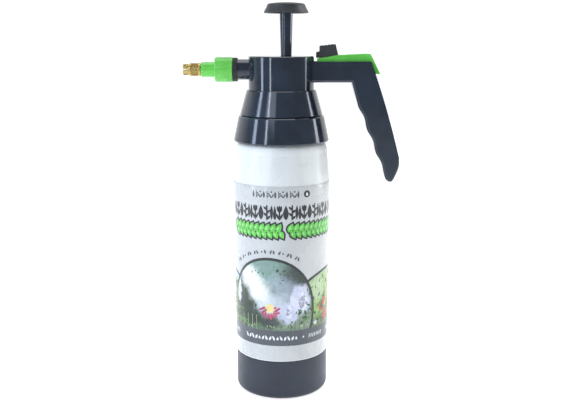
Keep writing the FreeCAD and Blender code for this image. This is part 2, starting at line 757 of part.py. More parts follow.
def makeLock():
    toeX = headRadius + toeGap
    frontX = toeX + lockToe
    backX = frontX + lockLength
    base = beamTopZ + lockRise
    top = base + lockHeight
    body = slab([(toeX, base), (toeX, base + 4.4), (frontX, base + 5.4), (frontX, top - 1.8),
                 (frontX + 0.8, top - 1.4), (backX - 0.6, top), (backX, top - 0.4),
                 (backX + 2.2, base + 2.5), (frontX, base)], lockWidth / 2)
    sideCut = box(toeX - 1, frontX - 0.1, lockWidth, base - 1, base + 7)
    body = body.cut(sideCut.cut(box(toeX - 2, frontX + 1, lockWidth / 3 - 0.6, base - 2, base + 8)))
    for rib in range(4):
        x = frontX + 3.0 + 2.9 * rib
        z = top - 1.8 + 0.11 * (x - frontX)
        body = body.cut(Part.makeBox(1.1, lockWidth + 2, 1.2, V(x, -lockWidth / 2 - 1, z)))
    footZ = beamTopZ - 0.6
    post = box(pinX + 0.5, pinX + 5.5, postHalf, footZ, base + 4)
    foot = box(pinX - 0.8, pinX + 6.5, lockFootHalf, footZ - 1.6, footZ)
    return body.fuse(post).fuse(foot)


def makeBackCover():
    outer = rearArc(0.1)
    inner = rearArc(0.1 + coverThickness)
    topEdge = Part.LineSegment(outer.Vertexes[0].Point, inner.Vertexes[0].Point).toShape()
    lowEdge = Part.LineSegment(outer.Vertexes[-1].Point, inner.Vertexes[-1].Point).toShape()
    face = Part.Face(Part.Wire([outer, lowEdge, inner, topEdge]))
    half = channelHalf - 0.1
    face.translate(V(0, -half, 0))
    cover = face.extrude(V(0, 2 * half, 0))
    low = max(gripPoint(hollowEnd, 0).z + looseGap, beamTopZ - gripDrop)
    top = beamBottomZ + 0.5
    cover = cover.common(box(handleReach - 10, handleReach + gripLean + 5, handleWidth, low, top))
    for z in coverScrewSpots():
        seat = V(rearX(z) - 1.0, 0, z)
        cover = cover.cut(Part.makeCylinder(screwRadius + 0.2, 12, seat - V(5, 0, 0), X_AXIS))
        cover = cover.cut(Part.makeCylinder(screwHeadRadius + 0.2, 4, seat, X_AXIS))
    return cover


def makeCoverScrews():
    seats = [V(rearX(z) - 1.0, 0, z) for z in coverScrewSpots()]
    return Part.makeCompound([crossScrew(8.9, 1.3, seat, -X_AXIS) for seat in seats])


def makeOutletGasket():
    bore = outletThreadRoot + outletThreadHeight + 0.1
    return alongNozzle(tube(gasketRingRadius, bore, stubEnd, stubEnd + gasketRingLength))


def makeOutletNut():
    bore = outletThreadRoot + outletThreadHeight + 0.4
    mouth = holderRadius + looseGap
    wallZ = nutFront - nutWall
    endZ = threadEnd - looseGap
    nut = revolve([(bore, nutRear), (nutRadius - 0.5, nutRear), (nutRadius, nutRear + 0.5),
                   (nutRadius, nutFront - 0.7), (nutRadius - 0.7, nutFront), (mouth, nutFront),
                   (mouth, wallZ), (bore + 0.4, wallZ), (bore + 0.4, endZ), (bore, endZ)])
    crest = outletThreadRoot + nutMesh
    ridge = threadRidge(bore, crest, outletPitch, nutRidge, outletThreadWidth,
                        outletRidgeStart + outletPitch / 2)
    return alongNozzle(nut.fuse(ridge))


def makeHolderWasher():
    return alongNozzle(tube(outletThreadRoot, stubBore, washerRear, holderRear))


def makeHolder():
    rear = holderRear
    flange = nutFront - nutWall - looseGap
    outer = outletThreadRoot + outletThreadHeight + 0.4
    front = holderFront
    tip = front + sprayThreadLength
    body = revolve([(coreRadius, rear), (outer, rear), (outer, flange), (holderRadius, flange),
                    (holderRadius - 0.2, front - 0.4), (holderRadius - 0.7, front),
                    (sprayThreadRoot, front), (sprayThreadRoot, tip), (coreRadius, tip)])
    crest = sprayThreadRoot + sprayThreadHeight
    ridge = threadRidge(sprayThreadRoot, crest, sprayPitch, 4.0, sprayThreadWidth, front + 1.2)
    return alongNozzle(body.fuse(ridge))


def makeSwirlCore():
    tip = holderFront + sprayThreadLength
    core = tube(coreRadius, 0, holderFront - 8, tip + 0.2)
    head = coreRadius + 0.7
    core = core.fuse(revolve([(0, tip), (head, tip), (head, tip + 1), (1.0, tip + 2.4), (0, tip + 2.4)]))
    for turn in range(3):
        groove = Part.makeBox(1.0, 1.0, 20, V(coreRadius - 0.7, -0.5, holderFront - 9))
        groove.rotate(V(0, 0, 0), Z_AXIS, 120 * turn)
        core = core.cut(groove)
    return alongNozzle(core)


def makeBrassNozzle():
    rear = holderFront + 0.2
    seat = brassFront - 1.4
    body = revolve([(sprayBore, rear), (brassRadius - 0.4, rear), (brassRadius, rear + 0.4),
                    (brassRadius, brassFront - 0.5), (brassRadius - 0.5, brassFront),
                    (noseRadius, brassFront),
                    (noseRadius, noseFront - 0.3), (noseRadius - 0.3, noseFront), (noseBore, noseFront),
                    (noseBore, brassFront + 0.6), (0.5, brassFront - 0.4), (0.5, seat + 0.4), (1.4, seat),
                    (sprayBore - 0.4, seat), (sprayBore, seat - 0.5)])
    ridge = threadRidge(sprayBore, sprayThreadRoot + nutMesh, sprayPitch, 3.5, sprayThreadWidth,
                        holderFront + 1.2 + sprayPitch / 2)
    body = body.fuse(ridge)
    length = 2 * noseRadius + 2
    for turn in range(3):
        slot = Part.makeBox(length, noseSlot, noseLength, V(-length / 2, -noseSlot / 2, brassFront + 1.0))
        slot.rotate(V(0, 0, 0), Z_AXIS, 60 * turn + 30)
        body = body.cut(slot)
    return alongNozzle(body)


def makeNozzleORing():
    return alongNozzle(ring(sprayBore - 0.55, 0.45, brassFront - 2.35))


PIECES = {
    "bottle": makeBottle,
    "base_cup": makeBaseCup,
    "label_sleeve": makeLabel,
    "screw_collar": makeScrewCollar,
    "mouth_gasket": lambda: tube(neckRootRadius - 0.2, neckRootRadius - neckWall, mouthZ, plateZ),
    "mouth_plate": makeMouthPlate,
    "deck_screws": makeDeckScrews,
    "head_housing": makeHousing,
    "top_cap": makeTopCap,
    "grip_back_cover": makeBackCover,
    "cover_screws": makeCoverScrews,
    "pump_barrel": makeBarrel,
    "barrel_o_ring": lambda: ring(barrelRadius + 0.8, 0.8, deckZ - 0.8, pumpOffset),
    "foot_valve": makeFootValve,
    "foot_valve_cage": makeFootCage,
    "pump_rod": makeRod,
    "piston": makePiston,
    "piston_seal": makePistonSeal,
    "pump_knob": makeKnob,
    "valve_body": makeValveBody,
    "valve_seat": makeValveSeat,
    "valve_plug": makeValvePlug,
    "valve_stem": makeValveStem,
    "valve_spring": makeValveSpring,
    "valve_cap": makeValveCap,
    "stem_o_ring": lambda: ring(stemRadius + 0.6, 0.55, floorZ + 24, valveX),
    "inlet_o_ring": lambda: ring(inletRadius + 0.7, 0.7, deckZ - 0.7, valveX),
    "outlet_tube": makeOutletTube,
    "dip_tube": makeDipTube,
    "strainer": makeStrainer,
    "thumb_lever": makeLever,
    "lift_fork": makeLiftFork,
    "lever_pin": makeLeverPin,
    "lock_button": makeLock,
    "outlet_gasket": makeOutletGasket,
    "outlet_nut": makeOutletNut,
    "holder_washer": makeHolderWasher,
    "nozzle_holder": makeHolder,
    "swirl_core": makeSwirlCore,
    "brass_nozzle": makeBrassNozzle,
    "nozzle_o_ring": makeNozzleORing,
}

os.makedirs("parts", exist_ok=True)
for name, make in PIECES.items():
    shape = make().removeSplitter()
    bounds = shape.BoundBox
    size = (bounds.XLength, bounds.YLength, bounds.ZLength)
    print(name, len(shape.Solids), shape.isValid(), [round(length, 1) for length in size])
    shape.exportStep("parts/" + name + ".step")
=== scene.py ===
import json
import math
import random
import bmesh
import bpy
from mathutils import Matrix, Vector


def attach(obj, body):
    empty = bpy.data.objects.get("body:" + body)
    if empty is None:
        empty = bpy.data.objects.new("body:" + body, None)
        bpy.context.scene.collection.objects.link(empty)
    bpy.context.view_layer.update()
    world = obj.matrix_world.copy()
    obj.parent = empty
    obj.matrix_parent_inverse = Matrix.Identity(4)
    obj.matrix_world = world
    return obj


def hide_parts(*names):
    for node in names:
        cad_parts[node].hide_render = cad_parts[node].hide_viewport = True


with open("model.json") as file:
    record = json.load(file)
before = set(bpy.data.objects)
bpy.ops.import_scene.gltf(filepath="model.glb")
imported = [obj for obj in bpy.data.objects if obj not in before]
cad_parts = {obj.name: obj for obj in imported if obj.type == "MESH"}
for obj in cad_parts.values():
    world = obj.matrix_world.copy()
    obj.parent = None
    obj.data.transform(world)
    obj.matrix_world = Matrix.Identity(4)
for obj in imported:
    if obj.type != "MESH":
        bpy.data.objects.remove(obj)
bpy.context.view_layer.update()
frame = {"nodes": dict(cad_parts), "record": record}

print("frame loaded:", len(frame["nodes"]), "nodes")

mm = 0.001
nodeSlot = {part["node"]: part["material_slot"] for part in frame["record"]["subparts"]}


# shader helpers

def hexColor(code):  # an sRGB hex value as linear red, green, blue, alpha
    parts = [int(code[i:i + 2], 16) / 255 for i in (0, 2, 4)]
    return (*[p / 12.92 if p <= 0.04045 else ((p + 0.055) / 1.055) ** 2.4 for p in parts], 1.0)


def addNode(tree, kind, inputs=None, **settings):
    node = tree.nodes.new(kind)
    for key, value in settings.items():
        setattr(node, key, value)
    for key, value in (inputs or {}).items():
        if isinstance(value, bpy.types.NodeSocket):
            tree.links.new(value, node.inputs[key])
        else:
            node.inputs[key].default_value = value
    return node


def newMaterial(name):
    material = bpy.data.materials.new(name)
    material.use_nodes = True
    tree = material.node_tree
    shader = tree.nodes["Principled BSDF"]
    place = addNode(tree, "ShaderNodeTexCoord").outputs["Object"]
    return material, tree, shader, place


def rampColor(tree, factor, stops):  # stops are (position, hex)
    node = addNode(tree, "ShaderNodeValToRGB", {"Fac": factor})
    ramp = node.color_ramp
    while len(ramp.elements) < len(stops):
        ramp.elements.new(0.5)
    for element, (position, code) in zip(ramp.elements, stops):
        element.position = position
        element.color = hexColor(code)
    return node.outputs["Color"]


def noiseAt(tree, place, sizeMm, detail=3.0, roughness=0.5):
    node = addNode(tree, "ShaderNodeTexNoise", {"Vector": place, "Scale": 1000 / sizeMm, "Detail": detail,
                                                "Roughness": roughness})
    return node.outputs["Fac"]


def spread(tree, factor, low, high, start=0.3, end=0.7):
    settings = {"Value": factor, "From Min": start, "From Max": end, "To Min": low, "To Max": high}
    return addNode(tree, "ShaderNodeMapRange", settings, interpolation_type="SMOOTHSTEP").outputs["Result"]


def mixColor(tree, factor, first, second):  # sockets 6 and 7 are the two colours
    return addNode(tree, "ShaderNodeMix", {0: factor, 6: hexColor(first) if isinstance(first, str) else first,
                                           7: hexColor(second) if isinstance(second, str) else second},
                   data_type="RGBA").outputs[2]


def combine(tree, operation, first, second=0.0):
    return addNode(tree, "ShaderNodeMath", {0: first, 1: second}, operation=operation).outputs["Value"]


# mesh helpers, all sizes in millimetres

def finishPiece(name, bm, material, body, nodes=(), sharp=35):
    bmesh.ops.recalc_face_normals(bm, faces=bm.faces[:])
    bmesh.ops.scale(bm, vec=(mm, mm, mm), verts=bm.verts[:])
    mesh = bpy.data.meshes.new(name)
    bm.to_mesh(mesh)
    bm.free()
    mesh.shade_smooth()
    mesh.set_sharp_from_angle(angle=math.radians(sharp))
    mesh.materials.append(material)
    piece = bpy.data.objects.new(name, mesh)
    bpy.context.scene.collection.objects.link(piece)
    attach(piece, body)
    if nodes:
        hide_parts(*nodes)
    return piece


def lathe(bm, profile, turns=1.0, steps=96):  # a closed profile of (radius, height, rounding) points
    verts = [bm.verts.new((point[0], 0, point[1])) for point in profile]
    for pair in zip(verts, verts[1:] + verts[:1]):
        bm.edges.new(pair)
    corners = {}
    for vert, point in zip(verts, profile):
        if len(point) > 2:
            corners.setdefault(point[2], []).append(vert)
    wires = set(verts)
    for rounding, group in corners.items():
        made = bmesh.ops.bevel(bm, geom=group, offset=rounding, offset_type="OFFSET", segments=4, profile=0.5,
                               affect="VERTICES", clamp_overlap=True, material=-1)
        wires.update(made["verts"])
    wires = [vert for vert in wires if vert.is_valid]
    wireEdges = list({edge for vert in wires for edge in vert.link_edges})
    before = set(bm.faces)
    bmesh.ops.spin(bm, geom=wires + wireEdges, cent=(0, 0, 0), axis=(0, 0, 1), angle=2 * math.pi * turns,
                   steps=steps, use_merge=turns == 1.0)
    spun = {vert for face in bm.faces if face not in before for vert in face.verts}
    poles = [vert for vert in spun if math.hypot(vert.co.x, vert.co.y) < 1e-4]
    bmesh.ops.remove_doubles(bm, verts=poles, dist=1e-3)
    return [face for face in bm.faces if face not in before]


def block(bm, low, high, rounding=0.0, segments=3):  # a box with rounded edges
    made = bmesh.ops.create_cube(bm, size=1.0)["verts"]
    size = [h - l for l, h in zip(low, high)]
    middle = [(l + h) / 2 for l, h in zip(low, high)]
    bmesh.ops.scale(bm, vec=size, verts=made)
    bmesh.ops.translate(bm, vec=middle, verts=made)
    if rounding:
        edges = list({edge for vert in made for edge in vert.link_edges})
        made = bmesh.ops.bevel(bm, geom=edges, offset=rounding, offset_type="OFFSET", segments=segments,
                               profile=0.5, affect="EDGES", clamp_overlap=True, material=-1)["verts"]
    return made


# materials

plasticFinishes = {
    # injection-moulded glossy ABS: near-mirror skin with a faint ripple, picks up long window streaks
    "headGlossAbs": {"slot": "head_plastic", "deep": "1c2530", "light": "242f3d", "rough": (0.07, 0.15),
                     "ripple": 9.0, "rippleDepth": 0.012, "grain": 0.9, "grainDepth": 0.001, "ior": 1.5,
                     "coat": 0.25},
    # satin polypropylene: softer, paler blue-grey than the head, a little chalky
    "baseSatinPolypropylene": {"slot": "base_plastic", "deep": "1f2633", "light": "272f3d",
                               "rough": (0.34, 0.46), "ripple": 14.0, "rippleDepth": 0.012,
                               "grain": 0.7, "grainDepth": 0.004, "ior": 1.49, "coat": 0.0},
    # spark-eroded nylon: fine even grain that breaks up highlights
    "knobGrainedNylon": {"slot": "knob_plastic", "deep": "232528", "light": "2e3134", "rough": (0.42, 0.56),
                         "ripple": 10.0, "rippleDepth": 0.01, "grain": 0.8, "grainDepth": 0.018, "ior": 1.52,
                         "coat": 0.0},
    # pigmented polypropylene: bright, waxy green that glows a little at thin edges
    "greenPolypropylene": {"slot": "green_plastic", "deep": "55bf3e", "light": "6dcc52",
                           "rough": (0.24, 0.36), "ripple": 8.0, "rippleDepth": 0.012, "grain": 0.8,
                           "grainDepth": 0.003, "ior": 1.49, "coat": 0.1, "glow": 0.2},
    # natural acetal and polyethylene inside: milky, slightly greasy
    "innerNaturalAcetal": {"slot": "inner_plastic", "deep": "cfcec6", "light": "dedcd2", "rough": (0.35, 0.5),
                           "ripple": 6.0, "rippleDepth": 0.01, "grain": 0.8, "grainDepth": 0.003, "ior": 1.48,
                           "coat": 0.0, "glow": 0.2},
    # nitrile rubber: dull black that holds dust
    "nitrileRubber": {"slot": "rubber", "deep": "121314", "light": "1f2021", "rough": (0.55, 0.75),
                      "ripple": 5.0, "rippleDepth": 0.01, "grain": 0.8, "grainDepth": 0.012, "ior": 1.52,
                      "coat": 0.0},
}


def mouldedMaterial(name, finish):
    material, tree, shader, place = newMaterial(name)
    cloud = noiseAt(tree, place, 26.0, 2.0)
    colour = mixColor(tree, spread(tree, cloud, 0.0, 1.0), finish["deep"], finish["light"])
    tree.links.new(colour, shader.inputs["Base Color"])
    handled = noiseAt(tree, place, 12.0, 6.0, 0.6)
    tree.links.new(spread(tree, handled, *finish["rough"]), shader.inputs["Roughness"])
    grain = addNode(tree, "ShaderNodeBump", {"Height": noiseAt(tree, place, finish["grain"], 2.0),
                                             "Distance": finish["grainDepth"] * mm})
    ripple = addNode(tree, "ShaderNodeBump", {"Height": noiseAt(tree, place, finish["ripple"], 1.0),
                                              "Distance": finish["rippleDepth"] * mm,
                                              "Normal": grain.outputs["Normal"]})
    tree.links.new(ripple.outputs["Normal"], shader.inputs["Normal"])
    shader.inputs["IOR"].default_value = finish["ior"]
    shader.inputs["Coat Weight"].default_value = finish["coat"]
    shader.inputs["Coat Roughness"].default_value = 0.05
    if "glow" in finish:
        shader.inputs["Subsurface Weight"].default_value = finish["glow"]
        shader.inputs["Subsurface Radius"].default_value = (1.0, 1.0, 1.0)
        shader.inputs["Subsurface Scale"].default_value = 1.2 * mm
    return material


def bottleMaterial():
    # blow-moulded high-density polyethylene: milky white, soft gloss, faint vertical flow lines
    material, tree, shader, place = newMaterial("bottleBlownPolyethylene")
    stretched = addNode(tree, "ShaderNodeMapping", {"Vector": place, "Scale": (1.0, 1.0, 0.12)})
    flow = noiseAt(tree, stretched.outputs["Vector"], 9.0, 3.0)
    tree.links.new(rampColor(tree, flow, [(0.3, "d8dcda"), (0.7, "e4e7e4")]), shader.inputs["Base Color"])
    tree.links.new(spread(tree, noiseAt(tree, place, 15.0, 5.0), 0.26, 0.38), shader.inputs["Roughness"])
    fine = addNode(tree, "ShaderNodeBump", {"Height": noiseAt(tree, place, 1.1, 2.0), "Distance": 0.004 * mm})
    bump = addNode(tree, "ShaderNodeBump", {"Height": flow, "Distance": 0.05 * mm,
                                            "Normal": fine.outputs["Normal"]})
    tree.links.new(bump.outputs["Normal"], shader.inputs["Normal"])
    shader.inputs["IOR"].default_value = 1.54
    shader.inputs["Subsurface Weight"].default_value = 0.4
    shader.inputs["Subsurface Radius"].default_value = (1.0, 0.95, 0.9)
    shader.inputs["Subsurface Scale"].default_value = 3 * mm
    return material


def filmMaterial(name, deep, light, coat=0.35):
    # printed and laminated label film: flat ink under clear gloss, with slight wrinkles where it was wrapped
    material, tree, shader, place = newMaterial(name)
    tone = noiseAt(tree, place, 24.0, 3.0)
    speck = noiseAt(tree, place, 0.6, 2.0)
    ink = mixColor(tree, spread(tree, tone, 0.0, 1.0), deep, light)
    shade = mixColor(tree, spread(tree, speck, 0.0, 0.06), ink, "9aa0a4")
    tree.links.new(shade, shader.inputs["Base Color"])
    tree.links.new(spread(tree, noiseAt(tree, place, 9.0, 4.0), 0.22, 0.32), shader.inputs["Roughness"])
    wrinkle = addNode(tree, "ShaderNodeBump", {"Height": noiseAt(tree, place, 22.0, 1.0),
                                               "Distance": 0.04 * mm})
    tree.links.new(wrinkle.outputs["Normal"], shader.inputs["Normal"])
    shader.inputs["Coat Weight"].default_value = coat
    shader.inputs["Coat Roughness"].default_value = 0.1
    return material


def brassMaterial():
    # free-machining brass: warm yellow metal with turning rings and a little brown in the hollows
    material, tree, shader, place = newMaterial("turnedBrass")
    tarnish = noiseAt(tree, place, 5.0, 5.0, 0.65)
    tree.links.new(rampColor(tree, tarnish, [(0.3, "a58d50"), (0.55, "bda76a"), (0.75, "d0be88")]),
                   shader.inputs["Base Color"])
    ringPitch = 0.9865  # millimetres; at a scale of 1 a wave is pi / 10 metres long
    turning = {"Vector": place, "Scale": 1000 * math.pi / 10 / ringPitch, "Distortion": 0.6}
    rings = addNode(tree, "ShaderNodeTexWave", turning, wave_type="BANDS", bands_direction="X")
    bump = addNode(tree, "ShaderNodeBump", {"Height": rings.outputs["Fac"], "Distance": 0.006 * mm})
    tree.links.new(bump.outputs["Normal"], shader.inputs["Normal"])
    tree.links.new(spread(tree, tarnish, 0.34, 0.5), shader.inputs["Roughness"])
    shader.inputs["Metallic"].default_value = 1.0
    return material


def steelMaterial():
    # zinc-plated steel: cool grey metal with cloudy bluish patches
    material, tree, shader, place = newMaterial("zincPlatedSteel")
    patch = noiseAt(tree, place, 3.0, 4.0)
    tree.links.new(rampColor(tree, patch, [(0.3, "8d9197"), (0.7, "b4b8bc")]), shader.inputs["Base Color"])
    tree.links.new(spread(tree, patch, 0.24, 0.42), shader.inputs["Roughness"])
    shader.inputs["Metallic"].default_value = 1.0
    return material


finishes = {finish["slot"]: mouldedMaterial(name, finish) for name, finish in plasticFinishes.items()}
finishes["bottle_plastic"] = bottleMaterial()
finishes["label_film"] = filmMaterial("labelWhiteFilm", "babdbd", "c3c5c4")
finishes["brass"] = brassMaterial()
finishes["steel"] = steelMaterial()
for nodeName, cadObject in frame["nodes"].items():
    cadObject.data.materials.clear()
    cadObject.data.materials.append(finishes[nodeSlot[nodeName]])
print("materials on the CAD nodes:", len(finishes))


# label: a wrapped film with its print as thin raised ink

labelSizes = {"bottom": 36.0, "kink": 183.0, "top": 188.0, "lowRadius": 40.68, "highRadius": 42.07,
              "wall": 0.15, "inkRoom": 0.1, "ink": 0.012, "inkRoot": 0.01, "unroll": 41.5}


def labelRadius(z):
    size = labelSizes
    share = min((z - size["bottom"]) / (size["kink"] - size["bottom"]), 1.0)
    return size["lowRadius"] + share * (size["highRadius"] - size["lowRadius"])


def buildLabel():
    size = labelSizes
    bm = bmesh.new()
    low, high = size["lowRadius"] - size["inkRoom"], size["highRadius"] - size["inkRoom"]
    lowInside, highInside = low - size["wall"], high - size["wall"]
    lathe(bm, [(lowInside, size["bottom"]), (low, size["bottom"], 0.05), (high, size["kink"]),
               (high, size["top"], 0.05), (highInside, size["top"]), (highInside, size["kink"])], steps=360)
    return finishPiece("labelWrap", bm, finishes["label_film"], "bottle", ("label_sleeve",), sharp=50)


def wrapInk(name, bm, material, layer=1):  # flat faces in (arc, height) become ink wrapped on the label
    size = labelSizes
    layerMap = bm.loops.layers.uv.new("art")
    bmesh.ops.triangulate(bm, faces=[face for face in bm.faces if len(face.verts) > 4])
    heights = [size["kink"], *range(int(size["bottom"]) + 4, int(size["top"]), 8)]
    halfWay = int(math.pi * size["unroll"])
    for across, along, steps in (((1, 0, 0), 0, range(-halfWay, halfWay + 1)), ((0, 1, 0), 1, heights)):
        low = min(vert.co[along] for vert in bm.verts)
        high = max(vert.co[along] for vert in bm.verts)
        for step in steps:
            if low < step < high:
                cut = (step, 0, 0) if along == 0 else (0, step, 0)
                bmesh.ops.bisect_plane(bm, geom=bm.verts[:] + bm.edges[:] + bm.faces[:], dist=1e-5,
                                       plane_co=cut, plane_no=across)
    for face in bm.faces:
        for loop in face.loops:
            loop[layerMap].uv = loop.vert.co.xy
    raised = bmesh.ops.extrude_face_region(bm, geom=bm.faces[:])
    lift = size["ink"] * layer
    top = [item for item in raised["geom"] if isinstance(item, bmesh.types.BMVert)]
    bmesh.ops.translate(bm, vec=(0, 0, lift), verts=top)
    for vert in bm.verts:
        turn = vert.co.x / size["unroll"]
        root = size["inkRoot"] if vert.co.z == 0 else 0
        radius = labelRadius(vert.co.y) - size["inkRoom"] + vert.co.z - root
        vert.co = (radius * math.sin(turn), -radius * math.cos(turn), vert.co.y)
    piece = finishPiece(name, bm, material, "bottle", sharp=50)
    return piece


def addOutline(bm, points):
    return bm.faces.new([bm.verts.new((x, y, 0)) for x, y in points])


def leaf(x, y, length, width, angle, points=9, pull=0.8):  # a pointed leaf from its stem end
    turn = math.radians(angle)
    outline = []
    for side in (1, -1):
        for step in range(points):
            t = step / points if side == 1 else 1 - step / points
            half = width / 2 * math.sin(math.pi * t ** pull) ** 0.9 * side if 0 < t < 1 else 0
            outline.append((x + length * t * math.cos(turn) - half * math.sin(turn),
                            y + length * t * math.sin(turn) + half * math.cos(turn)))
    return outline


def disc(x, y, radius, points=24, squeeze=1.0):
    turns = [2 * math.pi * i / points for i in range(points)]
    return [(x + radius * squeeze * math.cos(turn), y + radius * math.sin(turn)) for turn in turns]


def bar(x, y, width, height, angle=0.0):
    turn = math.radians(angle)
    corners = [(side * width / 2, end * height / 2) for side, end in ((-1, -1), (1, -1), (1, 1), (-1, 1))]
    return [(x + u * math.cos(turn) - v * math.sin(turn), y + u * math.sin(turn) + v * math.cos(turn))
            for u, v in corners]


def drop(x, y, radius):
    outline = [(x, y + 2.1 * radius)]
    for i in range(13):
        turn = math.radians(35 - i * 250 / 12)
        outline.append((x + radius * math.cos(turn), y + radius * math.sin(turn)))
    return outline


def inkFrom(name, outlines, material, layer=1):
    bm = bmesh.new()
    for outline in outlines:
        addOutline(bm, outline)
    return wrapInk(name, bm, material, layer)


printInks = {
    # dark ink of the reeds, the emblem and the leaves' shadows, nearly black with a cool cast
    "dark": ("inkDark", "101214", "171a1d"),
    # bright green of the row of leaves
    "green": ("inkGreen", "4fb53a", "67cc4c"),
    # pale mint streaks that make the leaves look round
    "mint": ("inkMint", "a2e58c", "b6efa2"),
    # soft grey of the small marks
    "grey": ("inkGrey", "3e4247", "4e5358"),
    # slate of the band under the pictures and of the badges' rings
    "slate": ("inkSlate", "43484f", "50555c"),
    # opaque white of the marks on the band and of the emblem's drop
    "white": ("inkWhite", "e2e6e9", "eef1f3"),
    # greenish black round the pictures
    "rim": ("inkRim", "0a1511", "12211b"),
    # petals, fruit and leaves inside the pictures
    "magenta": ("inkMagenta", "a62a52", "cf4a72"),
    "yellow": ("inkYellow", "ecd27c", "f6e6ab"),
    "lilac": ("inkLilac", "d9dbee", "e9eaf6"),
    "red": ("inkRed", "b32418", "d8402c"),
    "leafDeep": ("inkLeafDeep", "17331d", "2a4a29"),
    "leafMid": ("inkLeafMid", "3c6a35", "5c8c48"),
    "leafPale": ("inkLeafPale", "8fb07a", "b4cc9c"),
    "earth": ("inkEarth", "5b3f2a", "74543a"),
}
inks = {key: filmMaterial(name, deep, light, 0.2) for key, (name, deep, light) in printInks.items()}

headingRows = {
    "marks": {"low": 178.4, "high": 184.6, "from": -24.0, "to": 14.5, "count": 13},
    "reeds": {"low": 160.0, "high": 172.6, "from": -49.0, "to": 57.0, "count": 21},
    "leaves": {"middle": 150.2, "from": -48.0, "to": 56.0, "count": 22, "edge": 1.5, "gap": 10},
    "arc": {"wide": 52.0, "high": 52.6, "start": 130.0, "end": 60.0, "count": 18},
    "emblem": {"x": 22.4, "y": 181.4, "radius": 3.0},
}


def along(row, i):
    return row["from"] + i * (row["to"] - row["from"]) / (row["count"] - 1)


def buildHeadings():
    row = headingRows["marks"]
    height = row["high"] - row["low"]
    outlines = []
    for i in range(row["count"]):
        x = along(row, i)
        if i % 3 == 0:
            outlines.append(leaf(x, row["low"], height, 1.9, 90))
        elif i % 3 == 1:
            outlines.append(bar(x - 0.4, row["low"] + height / 2, 0.65, height))
            outlines += [leaf(x - 0.3, row["low"] + 1.2 + 2 * k, 2.5, 1.0, 40) for k in range(2)]
        else:
            outlines += [leaf(x, row["low"] + 0.2, 4.6, 1.2, turn) for turn in (62, 118)]
            outlines.append(disc(x, row["high"] - 0.8, 0.8, 12))
    inkFrom("labelMarks", outlines, inks["grey"], 1)
    emblem = headingRows["emblem"]
    inkFrom("labelEmblem", [disc(emblem["x"], emblem["y"], emblem["radius"], 32)], inks["dark"], 1)
    inkFrom("labelEmblemDrop", [drop(emblem["x"], emblem["y"] - 0.6, 1.05)], inks["white"], 2)

    row = headingRows["reeds"]
    height = row["high"] - row["low"]
    outlines = []
    for i in range(row["count"]):
        x = along(row, i)
        if i % 4 == 0:  # two reeds
            outlines += [leaf(x + shift, row["low"], height, 2.7, 90, 9, pull)
                         for shift, pull in ((-1.3, 1.0), (1.4, 0.7))]
        elif i % 4 == 1:  # a tulip on its stem
            outlines.append(bar(x, row["low"] + height * 0.4, 1.3, height * 0.8))
            outlines += [leaf(x, row["low"] + 0.4, 6.4, 2.0, turn) for turn in (62, 118)]
            outlines += [leaf(x, row["low"] + 6.6, 6.0, 2.6, turn) for turn in (72, 90, 108)]
        elif i % 4 == 2:  # a broad blade
            outlines.append(leaf(x, row["low"], height, 4.6, 90))
        else:  # a twig with leaves
            outlines.append(bar(x, row["low"] + height / 2, 1.4, height))
            outlines += [leaf(x, row["low"] + 0.8 + 2.6 * k, 4.2, 2.1, 44 + 92 * (k % 2)) for k in range(4)]
    inkFrom("labelReeds", outlines, inks["dark"], 1)

    row = headingRows["leaves"]
    inner, outer, veins = [], [], []
    for i in range(row["count"]):
        if i == row["gap"]:
            continue
        x, edge = along(row, i), row["edge"]
        for side, lean, length, width in ((0.0, 64, 8.2, 4.7), (2.3, -62, 7.4, 4.4)):
            leanX, leanY = math.cos(math.radians(lean)), math.sin(math.radians(lean))
            startX, startY = x + side - 0.6 * leanX, row["middle"] - 0.6 * leanY
            inner.append(leaf(startX, startY, length, width, lean))
            outer.append(leaf(startX - edge * leanX, startY - edge * leanY, length + 2.4 * edge,
                              width + 2 * edge, lean))
            veins.append(leaf(startX + 2.0 * leanX - 0.5, startY + 2.0 * leanY, length - 4.4, 0.9, lean))
    inkFrom("labelLeafShadows", outer, inks["dark"], 1)
    inkFrom("labelLeaves", inner, inks["green"], 2)
    inkFrom("labelLeafLights", veins, inks["mint"], 3)

    row = headingRows["arc"]
    outlines = []
    for i in range(row["count"]):
        turn = math.radians(row["start"] + (row["end"] - row["start"]) * i / (row["count"] - 1))
        x = pictures[0]["x"] + row["wide"] * math.cos(turn)
        y = pictureHeight + row["high"] * math.sin(turn)
        heading = math.degrees(turn)
        if i % 5 == 3:
            outlines.append(disc(x, y, 0.8, 12))
        else:
            outlines.append(leaf(x - 1.8 * math.cos(turn), y - 1.8 * math.sin(turn), 4.0, 1.7,
                                 heading + (20 if i % 2 else -20)))
    inkFrom("labelArcMarks", outlines, inks["grey"], 1)
    print("label headings ready")


pictureHeight = 80.0
pictureSize = {"rim": 2.3, "bottom": 62.6}
stripeSize = {"low": 49.5, "high": 63.0, "marks": 56.4}
pictures = [
    {"name": "labelPictureMist", "x": -10.5, "wide": 41.5, "high": 47.5, "layer": 5},
    {"name": "labelPictureFruit", "x": 55.0, "wide": 50.0, "high": 34.0, "layer": 3},
    {"name": "labelPictureGarden", "x": -73.0, "wide": 50.0, "high": 34.0, "layer": 1},
]


